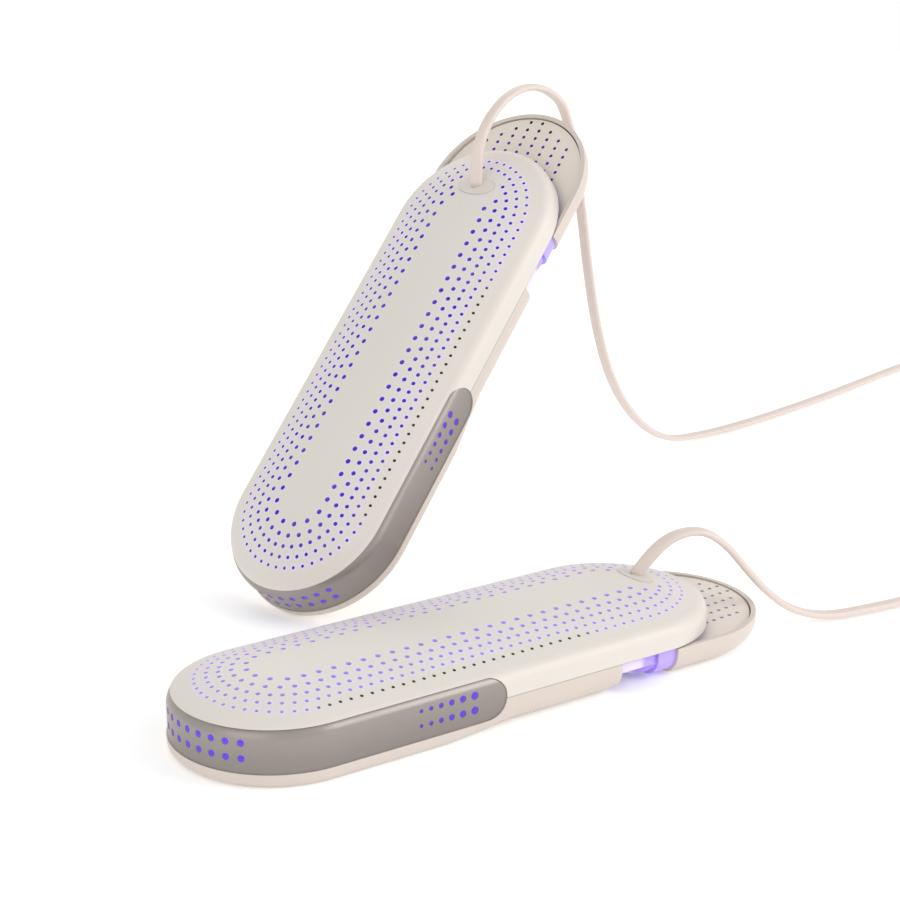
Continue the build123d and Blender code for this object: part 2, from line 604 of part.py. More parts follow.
def coil():
    """Closed ring of the outer shape of the wound lead."""
    section = fillet(Rectangle(COIL_W, COIL_H).vertices(), 3.0)
    placed = Plane(origin=(COIL_R, 0, 0), x_dir=(1, 0, 0), z_dir=(0, -1, 0)) * section
    return Pos(*yard(*COIL, COIL_LIFT)) * revolve(placed, Axis.Z, 360)


def coil_tie():
    """Soft strap round the turns of the coil."""
    outer = Box(COIL_W + 2 * (TIE_GAP + TIE_T), TIE_W, COIL_H + 2 * (TIE_GAP + TIE_T))
    outer -= Box(COIL_W + 2 * TIE_GAP, TIE_W + 1, COIL_H + 2 * TIE_GAP)
    return along_yard(*COIL, COIL_LIFT) * Rot(0, 0, 90) * Pos(COIL_R, 0, 0) * outer


def plug_body():
    """Flat two-pin plug body, with its cord end tapered."""
    across = Plane(origin=(0, 0, 0), x_dir=(0, 1, 0), z_dir=(1, 0, 0))

    def slice_at(x, width, height):
        return across.offset(x) * fillet(Rectangle(width, height).vertices(), min(width, height) * 0.3)

    grip = loft([slice_at(0, 8, 7), slice_at(10, 15, 11), slice_at(20, 26, 13.7)], ruled=True)
    head = extrude(slice_at(20, 35, 13.7), 15, dir=(1, 0, 0))
    return along_yard(*PLUG, PLUG_Z) * (grip + head)


def plug_pins():
    """Two 4 mm pins, each with its insulated root, 18.6 mm apart."""
    pins = []
    for side in (-1, 1):
        pin = Pos(35 + PIN_L / 2, side * PIN_Y, 0) * Rot(0, 90, 0) * Cylinder(PIN_R, PIN_L)
        pin = chamfer(pin.edges().sort_by(Axis.X)[-1], 0.8)
        pins.append(along_yard(*PLUG, PLUG_Z) * pin)
    return pins


def lead_pieces():
    """The cords, and what is on them, in the lying insert's frame."""
    return {
        "lying_cord": tube(LYING_ROUTE, CORD_D, "lying_cord"),
        "leaning_cord": tube(LEANING_ROUTE, CORD_D, "leaning_cord"),
        "lead_splitter": splitter(),
        "main_lead": tube(MAIN_ROUTE, CORD_D, "main_lead"),
        "lead_coil": coil(),
        "lead_tail": tube(TAIL_ROUTE, CORD_D, "lead_tail"),
        "coil_tie": coil_tie(),
        "plug_body": plug_body(),
        "plug_pins": plug_pins(),
    }


# ---------------------------------------------------------------- assembly
def solids_of(piece):
    pieces = piece if isinstance(piece, list) else [piece]
    return [solid for p in pieces for solid in p.solids()]


def main():
    os.makedirs("parts", exist_ok=True)
    middle = Pos(-PAIR_MIDDLE[0], -PAIR_MIDDLE[1], 0)
    insert = insert_pieces()
    nodes = {}
    for prefix, place in (("lying", middle), ("leaning", middle * LEANING)):
        for name, piece in insert.items():
            nodes[f"{prefix}_{name}"] = [place * solid for solid in solids_of(piece)]
    for name, piece in lead_pieces().items():
        nodes[name] = [middle * solid for solid in solids_of(piece)]
    for name, solids in nodes.items():
        export_step(Compound(children=solids, label=name), f"parts/{name}.step")
    own = [s for n, solids in nodes.items() if n.startswith(("lying_", "leaning_")) and not n.endswith("_cord")
           for s in solids]
    box = Compound(children=own).bounding_box()
    print("inserts' box", box.min, box.max)


main()
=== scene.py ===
import json
import math
import bmesh
import bpy
from mathutils import Matrix, Vector

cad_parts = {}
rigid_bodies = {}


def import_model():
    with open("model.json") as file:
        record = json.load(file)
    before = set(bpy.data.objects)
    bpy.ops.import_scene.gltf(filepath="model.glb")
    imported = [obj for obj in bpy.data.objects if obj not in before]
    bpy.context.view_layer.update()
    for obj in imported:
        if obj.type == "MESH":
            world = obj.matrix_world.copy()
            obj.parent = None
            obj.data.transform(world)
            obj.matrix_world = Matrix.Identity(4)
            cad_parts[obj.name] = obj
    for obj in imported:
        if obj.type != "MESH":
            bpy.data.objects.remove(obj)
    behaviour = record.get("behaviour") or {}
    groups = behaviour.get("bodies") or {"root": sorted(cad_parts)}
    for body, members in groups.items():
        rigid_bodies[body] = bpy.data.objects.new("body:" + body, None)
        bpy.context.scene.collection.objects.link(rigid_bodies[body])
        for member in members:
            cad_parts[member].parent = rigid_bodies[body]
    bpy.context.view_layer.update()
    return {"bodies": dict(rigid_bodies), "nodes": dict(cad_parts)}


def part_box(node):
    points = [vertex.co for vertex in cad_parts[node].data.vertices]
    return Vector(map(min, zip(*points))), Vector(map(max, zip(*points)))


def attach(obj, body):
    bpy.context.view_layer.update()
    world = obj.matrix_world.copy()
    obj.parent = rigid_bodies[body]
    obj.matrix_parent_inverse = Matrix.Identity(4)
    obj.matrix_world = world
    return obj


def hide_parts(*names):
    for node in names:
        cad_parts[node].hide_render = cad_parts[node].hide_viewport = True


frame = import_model()
MM = 0.001

# The two inserts' own frames: X from toe to heel, Y across, Z up from the flat underside.
board_low, board_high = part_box("lying_led_board")
LYING = Matrix.Translation(((board_low.x + board_high.x) / 2, (board_low.y + board_high.y) / 2, 0))
LEANING = (LYING @ Matrix.Translation(Vector((61.4, 114.9, 72.45)) * MM)
           @ Matrix.Rotation(math.radians(16.8), 4, "Z") @ Matrix.Rotation(math.radians(-45), 4, "Y"))
INSERTS = {"lying": LYING, "leaning": LEANING}
PAINTED_WALL_GLOW = {"lying": 0.15, "leaning": 0.13}        # strength of the painted violet glow (emission) on the vents' walls
PAINTED_WALL_TINT = {"lying": 0.24, "leaning": 1.0}        # how far the vents' walls are painted: deep violet as painted glow, and dark as painted shade on the plate

# Sizes of an insert, in millimetres
ARC_X, HALF_W = 68.0, 36.2
CROWN_Z, DOME_R = 26.5, 89.4
PARTING_Z = 11.2
ROW_S = 133.2
ROWS = [(28.0, 28, 0.5), (24.1, 27, 0.0), (20.1, 25, 0.5), (15.9, 20, 0.0), (11.3, 15, 0.5)]
GLAND = (80.5, -1.0, 4.6, 8.6)

VIOLET = (0.16, 0.075, 1.0)
# Painted glow: the pale violet halo round the vents
PAINTED_HALO_VIOLET = (0.71, 0.64, 0.88)
# Painted glow: the deep violet colour of the lit vents' walls
PAINTED_GLOW_VIOLET = (0.13, 0.08, 0.46)
COVER_IVORY = (0.70, 0.655, 0.605)
SHELL_IVORY = (0.635, 0.56, 0.505)
# Painted shade: darker brown in the joint between the cover and the shell
PAINTED_SEAM_SHADE, SEAM_DEPTH = (0.25, 0.22, 0.20), 0.75
# Painted shade: dark olive on the vents' walls where no lamp reaches
PAINTED_SHADE_OLIVE = (0.15, 0.13, 0.07)
# Painted glow round the vents: strength of its pale violet tint and of its emission
HALO_TINT, HALO_GLOW = 0.55, 0.03
# Band: its own taupe; painted shade darkening its foot; strength of the painted glow in its vents
BAND_TAUPE, BAND_FOOT_SHADE, BAND_GLOW = (0.33, 0.295, 0.275), (0.25, 0.22, 0.205), 0.55
# Plate: its own beige; painted shade on its vents' walls
PLATE_BEIGE, PLATE_VENT_SHADE = (0.75, 0.68, 0.61), (0.09, 0.07, 0.10)

# Edges of the painted glow and painted shade masks, in millimetres: a mask is 0 at a pair's first value and 1
# at its second
WALL_FACING = (0.75, 0.5)                      # no length: how far a surface faces up
DOME_Z, DOME_RADIUS = (17.0, 18.0), (31.5, 30.5)
HALO, GLAND_MARGIN = (2.3, 0.7), 2.6
UNLIT_Y, UNLIT_SHIFT, UNLIT_X = (-25.5, -27.0), 15.0, (60.0, 46.0)
BAND_SHADE_Z, BAND_TOP, BAND_BOTTOM = (4.0, 19.0), (17.0, 16.6), (7.2, 7.6)
BAND_TOE_X, BAND_TOE_DEPTH = (-90.0, -92.0), (0.55, 0.68)
BAND_SIDE_SHIFT, BAND_SIDE_X, BAND_SIDE_DEPTH = 25.5, (13.5, 13.0), (0.75, 0.95)
PLATE_Y, PLATE_X = (25.0, 24.0), (121.0, 115.0)
TRAY_X = (56.0, 59.0)


# ------------------------------------------------------------------------------------- camera, light, floor
def make_camera():
    right = Vector((0.8232, -0.5677, 0.0)).normalized()
    ahead = Vector((0.542, 0.7861, -0.297)).normalized()
    up = right.cross(ahead)
    turn = Matrix((right, up, -ahead)).transposed()
    data = bpy.data.cameras.new("camera")
    data.lens, data.sensor_width = 80.83, 36.0
    camera = bpy.data.objects.new("camera", data)
    place = LYING @ Vector((-363.4 * MM, -526.8 * MM, 285.8 * MM))
    camera.matrix_world = Matrix.Translation(place) @ turn.to_4x4()
    bpy.context.scene.collection.objects.link(camera)
    bpy.context.scene.camera = camera


def area_light(name, place, aim, size, power, colour):
    data = bpy.data.lights.new(name, "AREA")
    data.shape, data.size, data.energy, data.color = "SQUARE", size, power, colour
    lamp = bpy.data.objects.new(name, data)
    lamp.location = place
    lamp.rotation_euler = (Vector(aim) - Vector(place)).to_track_quat("-Z", "Y").to_euler()
    bpy.context.scene.collection.objects.link(lamp)


def make_stage():
    world = bpy.data.worlds.new("studio")
    world.use_nodes = True
    sky = world.node_tree.nodes["Background"]
    n = Nodes(world.node_tree)
    height = n.new("ShaderNodeSeparateXYZ")
    n.feed(height, 0, n.new("ShaderNodeTexCoord").outputs["Generated"])
    overhead = n.ramp(height.outputs["Z"], 0.15, 0.95)
    n.feed(sky, "Color", n.mix(overhead, (1.0, 0.98, 0.96), (0.95, 0.985, 1.0)))
    n.feed(sky, "Strength", n.math("MULTIPLY_ADD", overhead, -0.22, 0.98))
    bpy.context.scene.world = world
    middle = (0.0, 0.0, 0.06)
    area_light("key", (0.9, -1.0, 0.75), middle, 0.8, 8.0, (1.0, 0.98, 0.965))
    area_light("fill", (-1.2, -0.6, 0.7), middle, 1.0, 3.0, (1.0, 0.95, 0.90))
    area_light("rim", (0.6, 1.3, 0.9), middle, 0.8, 2.0, (1.0, 0.92, 0.86))
    bpy.ops.mesh.primitive_plane_add(size=12, location=(0, 0, -0.0003))
    floor = bpy.context.object
    floor.name = "floor"
    paint, nodes = new_material("floor_paper", (0.97, 0.97, 0.97), 0.9)
    shader_of(paint).inputs["Emission Color"].default_value = (1.0, 1.0, 1.0, 1)
    shader_of(paint).inputs["Emission Strength"].default_value = 0.20
    floor.data.materials.append(paint)
    bpy.context.scene.view_settings.view_transform = "Standard"


# ------------------------------------------------------------------------------------- materials
class Nodes:
    """Short calls that add nodes to a material and give back their outputs."""

    def __init__(self, tree):
        self.tree = tree

    def new(self, kind, **settings):
        node = self.tree.nodes.new(kind)
        for key, value in settings.items():
            setattr(node, key, value)
        return node

    def feed(self, node, slot, value):
        if hasattr(value, "is_linked"):
            self.tree.links.new(value, node.inputs[slot])
        else:
            node.inputs[slot].default_value = value

    def math(self, operation, *values):
        node = self.new("ShaderNodeMath", operation=operation)
        for k, value in enumerate(values):
            self.feed(node, k, value)
        return node.outputs[0]

    def ramp(self, value, low, high):
        """0 at low and 1 at high, smoothly; low may be the larger."""
        node = self.new("ShaderNodeMapRange", interpolation_type="SMOOTHSTEP")
        flip = low > high
        for slot, v in ((0, value), (1, min(low, high)), (2, max(low, high)), (3, 1.0 if flip else 0.0),
                        (4, 0.0 if flip else 1.0)):
            self.feed(node, slot, v)
        return node.outputs[0]

    def mix(self, factor, a, b):
        node = self.new("ShaderNodeMix", data_type="RGBA")
        for slot, v in ((0, factor), (6, a), (7, b)):
            self.feed(node, slot, (*v, 1.0) if isinstance(v, tuple) and len(v) == 3 else v)
        return node.outputs[2]

    def noise(self, scale, detail=2.0, place=None):
        node = self.new("ShaderNodeTexNoise")
        node.inputs["Scale"].default_value = scale
        node.inputs["Detail"].default_value = detail
        self.feed(node, "Vector", place or self.position())
        return node.outputs["Fac"]

    def position(self):
        return self.new("ShaderNodeTexCoord").outputs["Object"]

    def local_mm(self, anchor):
        """X, Y and Z in an insert's own frame, in millimetres."""
        coordinates = self.new("ShaderNodeTexCoord", object=anchor)
        split = self.new("ShaderNodeSeparateXYZ")
        self.feed(split, 0, coordinates.outputs["Object"])
        return [self.math("MULTIPLY", split.outputs[k], 1000.0) for k in range(3)]

    def facing(self, direction):
        """How far the surface faces along a direction of the shared frame, either way, 0 to 1."""
        turned = self.new("ShaderNodeVectorTransform", vector_type="NORMAL",
                          convert_from="WORLD", convert_to="OBJECT")
        self.feed(turned, 0, self.new("ShaderNodeNewGeometry").outputs["True Normal"])
        node = self.new("ShaderNodeVectorMath", operation="DOT_PRODUCT")
        self.feed(node, 0, turned.outputs[0])
        node.inputs[1].default_value = direction
        return self.math("ABSOLUTE", node.outputs["Value"])


def new_material(name, colour, roughness, metallic=0.0):
    material = bpy.data.materials.new(name)
    material.use_nodes = True
    material.diffuse_color = (*colour, 1)
    shader = material.node_tree.nodes["Principled BSDF"]
    shader.inputs["Base Color"].default_value = (*colour, 1)
    shader.inputs["Roughness"].default_value = roughness
    shader.inputs["Metallic"].default_value = metallic
    return material, Nodes(material.node_tree)


def shader_of(material):
    return material.node_tree.nodes["Principled BSDF"]


def moulded(name, colour, roughness, grain=0.00003, grain_scale=2600.0, variation=0.06, metallic=0.0):
    """Moulded or coated surface: fine grain in its relief, and slow changes of colour and of gloss."""
    material, n = new_material(name, colour, roughness, metallic)
    shader = shader_of(material)
    slow = n.noise(14.0, 3.0)
    darker = tuple(c * (1 - variation) for c in colour)
    n.feed(shader, "Base Color", n.mix(slow, darker, colour))
    patchy = n.noise(60.0, 4.0)
    n.feed(shader, "Roughness", n.math("MULTIPLY_ADD", patchy, 0.12, roughness - 0.06))
    bump = n.new("ShaderNodeBump")
    bump.inputs["Strength"].default_value = 0.35
    bump.inputs["Distance"].default_value = grain
    n.feed(bump, "Height", n.noise(grain_scale, 2.0))
    n.feed(shader, "Normal", bump.outputs[0])
    return material, n


def colour_link(material):
    """The socket that feeds the base colour."""
    return shader_of(material).inputs["Base Color"].links[0].from_socket


def inside_oval(n, x, y, grow):
    """1 on the cord gland and grow millimetres round it."""
    cx, cy, a, b = GLAND
    u = n.math("DIVIDE", n.math("SUBTRACT", x, cx), a + grow)
    v = n.math("DIVIDE", n.math("SUBTRACT", y, cy), b + grow)
    return n.ramp(n.math("ADD", n.math("MULTIPLY", u, u), n.math("MULTIPLY", v, v)), 1.1, 0.9)


def vent_distance(n, x, y):
    """Distance in the plan, in millimetres, from a point of the cover to the nearest vent's middle."""
    along = n.math("ABSOLUTE", x)
    straight = n.math("MINIMUM", along, ROW_S / 2)
    past = n.math("MAXIMUM", n.math("SUBTRACT", along, ROW_S / 2), 0.0)
    across = n.math("ABSOLUTE", y)
    radius = n.math("SQRT", n.math("ADD", n.math("MULTIPLY", past, past), n.math("MULTIPLY", across, across)))
    angle = n.math("ARCTAN2", past, across)
    nearest = None
    for row, count, offset in ROWS:
        pitch = (ROW_S / 2 + math.pi * row / 2) / (count - 0.5 + offset)
        run = n.math("MULTIPLY_ADD", angle, row, straight)
        steps = n.math("SUBTRACT", n.math("DIVIDE", run, pitch), offset)
        off = n.math("MULTIPLY", n.math("SUBTRACT", steps, n.math("ROUND", steps)), pitch)
        side = n.math("SUBTRACT", radius, row)
        gap = n.math("SQRT", n.math("ADD", n.math("MULTIPLY", off, off), n.math("MULTIPLY", side, side)))
        nearest = gap if nearest is None else n.math("MINIMUM", nearest, gap)
    return nearest, radius


def seam_shade(n, z):
    """1 on the hairline joint between the cover and the shell below it, which painted shade darkens."""
    return n.ramp(n.math("ABSOLUTE", n.math("SUBTRACT", z, PARTING_Z)), 0.22, 0.08)


def cover_material(insert, anchor, up):
    """Ivory cover with painted light: its vents' walls get a painted violet glow (deep violet colour and
    emission), the plastic round them a painted pale violet halo, and walls that no lamp reaches a painted dark
    olive shade.
    """
    material, n = moulded(f"{insert}_cover_plastic_painted_glow", COVER_IVORY, 0.42)
    shader = shader_of(material)
    x, y, z = n.local_mm(anchor)
    distance, radius = vent_distance(n, x, y)
    on_dome = n.math("MULTIPLY", n.ramp(z, *DOME_Z), n.ramp(radius, *DOME_RADIUS))
    wall = n.math("MULTIPLY", on_dome, n.ramp(n.facing(up), *WALL_FACING))
    halo = n.math("MULTIPLY", n.math("MULTIPLY", on_dome, n.ramp(distance, *HALO)),
                  n.math("SUBTRACT", 1.0, inside_oval(n, x, y, GLAND_MARGIN)))
    unlit = n.math("MULTIPLY", n.ramp(y, *UNLIT_Y),
                   n.ramp(n.math("ABSOLUTE", n.math("ADD", x, UNLIT_SHIFT)), *UNLIT_X))
    lit = n.math("SUBTRACT", 1.0, unlit)
    # Noise that makes the painted glow patchy
    patchy = n.math("MULTIPLY_ADD", n.ramp(n.noise(55.0, 1.0), 0.35, 0.62), 0.3, 0.7)
    lit = n.math("MULTIPLY", lit, patchy)
    # Painted halo: pale violet tint on the plastic round the vents
    tinted = n.mix(n.math("MULTIPLY", n.math("MULTIPLY", halo, lit), HALO_TINT),
                   colour_link(material), PAINTED_HALO_VIOLET)
    # Painted glow: deep violet colour on the lit walls
    deep = n.mix(n.math("MULTIPLY", n.math("MULTIPLY", wall, lit), PAINTED_WALL_TINT[insert]),
                 tinted, PAINTED_GLOW_VIOLET)
    # Painted shade: dark olive on the walls that no lamp reaches
    dark = n.mix(n.math("MULTIPLY", wall, unlit), deep, PAINTED_SHADE_OLIVE)
    # Painted shade in the joint between the cover and the shell
    n.feed(shader, "Base Color", n.mix(n.math("MULTIPLY", seam_shade(n, z), SEAM_DEPTH), dark, PAINTED_SEAM_SHADE))
    shader.inputs["Emission Color"].default_value = (*VIOLET, 1)
    # Painted glow: emission on the lit walls, and a little on the halo round them
    glow = n.math("MULTIPLY", n.math("MULTIPLY", wall, lit), PAINTED_WALL_GLOW[insert])
    n.feed(shader, "Emission Strength", n.math("MULTIPLY_ADD", n.math("MULTIPLY", halo, lit), HALO_GLOW, glow))
    return material


def shell_material(insert, anchor):
    material, n = moulded(f"{insert}_shell_plastic_painted_seam_shade", SHELL_IVORY, 0.42)
    z = n.local_mm(anchor)[2]
    # Painted shade in the joint between the cover and the shell
    n.feed(shader_of(material), "Base Color",
           n.mix(n.math("MULTIPLY", seam_shade(n, z), SEAM_DEPTH), colour_link(material), PAINTED_SEAM_SHADE))
    return material


def heel_material(insert):
    return moulded(f"{insert}_heel_plastic", SHELL_IVORY, 0.42)[0]


def band_material(insert, anchor):
    """Satin taupe band, with painted shade darkening it towards its foot; the violet light inside its vents is
    a painted glow (emission on the vents' walls).
    """
    material, n = moulded(f"{insert}_band_plastic_painted_shade_glow", BAND_TAUPE, 0.34, variation=0.12, metallic=0.45)
    shader = shader_of(material)
    x, y, z = n.local_mm(anchor)
    # Painted shade: the band darker towards its foot
    n.feed(shader, "Base Color", n.mix(n.ramp(z, *BAND_SHADE_Z), BAND_FOOT_SHADE, colour_link(material)))
    past = n.math("MINIMUM", n.math("ADD", x, ARC_X), 0.0)
    radius = n.math("SQRT", n.math("ADD", n.math("MULTIPLY", past, past), n.math("MULTIPLY", y, y)))
    depth = n.math("SUBTRACT", HALF_W, radius)
    toe = n.math("MULTIPLY", n.ramp(x, *BAND_TOE_X), n.ramp(depth, *BAND_TOE_DEPTH))
    side = n.math("MULTIPLY", n.ramp(n.math("ABSOLUTE", n.math("ADD", x, BAND_SIDE_SHIFT)), *BAND_SIDE_X),
                  n.ramp(depth, *BAND_SIDE_DEPTH))
    deep = n.math("MAXIMUM", toe, side)
    in_rows = n.math("MULTIPLY", n.ramp(z, *BAND_TOP), n.ramp(z, *BAND_BOTTOM))
    # Painted glow: emission on the vents' walls inside the band
    shader.inputs["Emission Color"].default_value = (*VIOLET, 1)
    n.feed(shader, "Emission Strength", n.math("MULTIPLY", n.math("MULTIPLY", deep, in_rows), BAND_GLOW))
    return material


def plate_material(insert, anchor, up):
    """Beige-grey heel plate; its vents' walls carry painted shade (a dark colour) and, where lit, a painted
    violet glow (deep violet colour and emission).
    """
    material, n = moulded(f"{insert}_plate_plastic_painted_shade_glow", PLATE_BEIGE, 0.5)
    shader = shader_of(material)
    x, y, z = n.local_mm(anchor)
    inner = n.ramp(n.math("ABSOLUTE", y), *PLATE_Y)
    wall = n.math("MULTIPLY", inner, n.ramp(n.facing(up), *WALL_FACING))
    lit = n.math("MULTIPLY", wall, n.ramp(x, *PLATE_X))
    shader.inputs["Emission Color"].default_value = (*VIOLET, 1)
    # Painted shade: dark colour on the vents' walls
    dark = n.mix(n.math("MULTIPLY", wall, PAINTED_WALL_TINT[insert]), colour_link(material), PLATE_VENT_SHADE)
    # Painted glow: deep violet colour here and emission below, on the lit walls
    n.feed(shader, "Base Color", n.mix(n.math("MULTIPLY", lit, PAINTED_WALL_TINT[insert]), dark, PAINTED_GLOW_VIOLET))
    n.feed(shader, "Emission Strength", n.math("MULTIPLY", lit, PAINTED_WALL_GLOW[insert]))
    return material


def tray_material(insert, anchor):
    """Translucent violet tray: its own deep violet at the lip; towards the light board, painted light makes it
    paler and gives it a weak emission.
    """
    material, n = new_material(f"{insert}_tray_resin_painted_light", (0.55, 0.42, 0.95), 0.22)
    shader = shader_of(material)
    x = n.local_mm(anchor)[0]
    out = n.ramp(x, *TRAY_X)
    cloudy = n.noise(90.0, 3.0)
    # Painted light: paler near the light board, with cloudy tone
    lit_pale = n.mix(cloudy, (0.86, 0.78, 1.0), (0.74, 0.64, 1.0))
    n.feed(shader, "Base Color", n.mix(out, lit_pale, (0.48, 0.36, 0.95)))
    shader.inputs["Subsurface Weight"].default_value = 0.35
    shader.inputs["Subsurface Radius"].default_value = (0.6, 0.5, 1.0)
    shader.inputs["Subsurface Scale"].default_value = 0.003
    # Painted glow: weak emission, weaker at the lip
    shader.inputs["Emission Color"].default_value = (0.45, 0.33, 1.0, 1)
    n.feed(shader, "Emission Strength", n.math("MULTIPLY_ADD", out, -0.02, 0.03))
    return material


def diffuser_material():
    """Violet glow of the sheets behind the vents, unevenly bright."""
    material, n = new_material("diffuser_glow", (0.6, 0.5, 0.9), 0.6)
    shader = shader_of(material)
    shader.inputs["Emission Color"].default_value = (*VIOLET, 1)
    n.feed(shader, "Emission Strength", n.math("MULTIPLY_ADD", n.noise(110.0, 2.0), 0.5, 0.1))
    return material


def metal(name, colour, roughness, brushed=900.0):
    material, n = new_material(name, colour, roughness, 1.0)
    stretch = n.new("ShaderNodeMapping")
    stretch.inputs["Scale"].default_value = (1.0, 12.0, 12.0)
    n.feed(stretch, 0, n.position())
    grain = n.noise(brushed, 4.0, stretch.outputs[0])
    n.feed(shader_of(material), "Roughness", n.math("MULTIPLY_ADD", grain, 0.25, roughness - 0.1))
    return material


def tape_material():
    """Woven hook-and-loop tape."""
    material, n = new_material("tape_weave", (0.20, 0.19, 0.19), 0.9)
    shader = shader_of(material)
    weave = n.new("ShaderNodeTexVoronoi")
    weave.inputs["Scale"].default_value = 1800.0
    n.feed(weave, "Vector", n.position())
    bump = n.new("ShaderNodeBump")
    bump.inputs["Distance"].default_value = 0.0004
    n.feed(bump, "Height", weave.outputs["Distance"])
    n.feed(shader, "Normal", bump.outputs[0])
    n.feed(shader, "Base Color", n.mix(weave.outputs["Distance"], (0.12, 0.115, 0.115), (0.27, 0.26, 0.26)))
    shader.inputs["Sheen Weight"].default_value = 0.4
    return material


def dress(node, material):
    mesh = frame["nodes"][node].data
    mesh.materials.clear()
    mesh.materials.append(material)


def dress_inserts():
    shared = {
        "cord_gland": moulded("gland_rubber", (0.68, 0.63, 0.58), 0.5, variation=0.08)[0],
        "cord_clamp": moulded("black_nylon", (0.03, 0.03, 0.032), 0.5)[0],
        "led_board": moulded("solder_mask", (0.03, 0.16, 0.06), 0.3)[0],
        "leds": diffuser_material(),
        "board_parts": moulded("dark_epoxy", (0.02, 0.02, 0.025), 0.3)[0],
        "insulation_sheet": moulded("mica", (0.62, 0.52, 0.34), 0.45, variation=0.3)[0],
        "ptc_elements": moulded("ceramic", (0.30, 0.30, 0.33), 0.55, variation=0.2)[0],
        "heater_fins": metal("mill_aluminium", (0.80, 0.81, 0.82), 0.35),
        "thermostat": moulded("phenolic", (0.05, 0.035, 0.03), 0.4)[0],
        "thermal_fuse": metal("fuse_can", (0.82, 0.80, 0.75), 0.3),
        "wiring": moulded("silicone_red", (0.45, 0.04, 0.03), 0.5)[0],
        "guide_rails": moulded("rail_nylon", (0.05, 0.05, 0.055), 0.45)[0],
        "detent_springs": metal("spring_steel", (0.66, 0.66, 0.64), 0.25),
    }
    screws = metal("zinc_screw", (0.62, 0.62, 0.64), 0.35)
    for name in ("case_screws", "clamp_screws", "board_screws", "heater_screws", "heel_screws"):
        shared[name] = screws
    for insert, place in INSERTS.items():
        up = tuple(place.to_3x3() @ Vector((0, 0, 1)))
        fixed = axes_of(f"{insert}_axes", place, "inserts")
        sliding = axes_of(f"{insert}_heel_axes", place, f"{insert}_heel")
        own = {
            "top_cover": cover_material(insert, fixed, up),
            "bottom_shell": shell_material(insert, fixed),
            "vent_band": band_material(insert, fixed),
            "heel_shell": heel_material(insert),
            "heel_plate": plate_material(insert, sliding, up),
            "slide_tray": tray_material(insert, sliding),
        }
        for name, material in {**shared, **own}.items():
            dress(f"{insert}_{name}", material)


def axes_of(name, place, body):
    """Empty at an insert's frame, for its materials to measure from."""
    empty = bpy.data.objects.new(name, None)
    bpy.context.scene.collection.objects.link(empty)
    empty.parent = frame["bodies"][body]
    empty.matrix_world = place
    return empty


# ------------------------------------------------------------------------------------- light diffusers
def add_lit_sheet(name, made, material, smooth):
    """Thin glowing sheet, from its finished faces, that stays with the inserts."""
    mesh = bpy.data.meshes.new(name)
    made.to_mesh(mesh)
    made.free()
    sheet = bpy.data.objects.new(name, mesh)
    bpy.context.scene.collection.objects.link(sheet)
    for face in mesh.polygons:
        face.use_smooth = smooth
    mesh.materials.append(material)
    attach(sheet, "inserts")


def add_diffuser(insert, place, material):
    """Thin sheet that follows the dome from inside and carries the lamps' light to the vents."""
    drop, reach, rings, around = 2.4, 30.0, 8, 96
    start = 0.02                               # the innermost loop, as a part of one ring's step
    made = bmesh.new()
    loops = []
    for k in range(rings + 1):
        r = reach * (k + start) / (rings + start)
        z = CROWN_Z - DOME_R + math.sqrt(DOME_R ** 2 - r * r) - drop
        loop = []
        for j in range(around):
            a = 2 * math.pi * j / around
            shift = ARC_X if math.cos(a) > 0 else -ARC_X
            spot = Vector((shift + r * math.cos(a), r * math.sin(a), z)) * MM
            loop.append(made.verts.new(place @ spot))
        loops.append(loop)
    for inner, outer in zip(loops, loops[1:]):
        for j in range(around):
            made.faces.new((inner[j - 1], outer[j - 1], outer[j], inner[j]))
    made.faces.new(loops[0])
    add_lit_sheet(f"{insert}_light_diffuser", made, material, True)


def add_band_glow(insert, place, material):
    """Thin upright sheet behind the band's vents: it carries the lamps' light to them."""
    inset, low, high, bend_steps = 4.2, 7.4, 17.6, 12
    offset = HALF_W - inset
    path = []
    for side in (1, -1):
        run = [(x, side * offset) for x in (-13.0, -26.0, -40.0, -54.0)]
        bend = []
        for k in range(bend_steps + 1):
            a = math.pi / 2 * k / bend_steps
            bend.append((-ARC_X - offset * math.sin(a), side * offset * math.cos(a)))
        part = run + bend
        path += part if side > 0 else list(reversed(part[:-1]))
    made = bmesh.new()
    rows = [[made.verts.new(place @ (Vector((x, y, z)) * MM)) for x, y in path] for z in (low, high)]
    for k in range(len(path) - 1):
        made.faces.new((rows[0][k], rows[0][k + 1], rows[1][k + 1], rows[1][k]))
    add_lit_sheet(f"{insert}_band_light_strip", made, material, False)


# ------------------------------------------------------------------------------------- cords
CORD_W, CORD_T = 4.8, 2.8
CORD_Z = 2.1
YARD_AT, YARD_ALONG = (184.7, -32.9), (0.727, 0.687)
SPLITTER, SPLITTER_SIZE, LEG_GAP = (284.0, 127.0), (32.0, 17.0, 8.0), 4.6
COIL, COIL_R, COIL_TURNS, COIL_LAYERS = (200.0, 100.0), 27.5, 8, (4.0, 8.9)
COLUMN = 3.1
PLUG, PLUG_Z = (146.0, 127.5), 7.2
EXIT = (80.5, -1.0, 25.3)


def lying(x, y, z):
    return LYING @ (Vector((x, y, z)) * MM)


def leaning(x, y, z):
    return LEANING @ (Vector((x, y, z)) * MM)


def yard(s, d, z=CORD_Z):
    """Point of the surface beyond the inserts: s along it, and d out from it."""
    ax, ay = YARD_ALONG
    return lying(YARD_AT[0] + s * ax + d * ay, YARD_AT[1] + s * ay - d * ax, z)


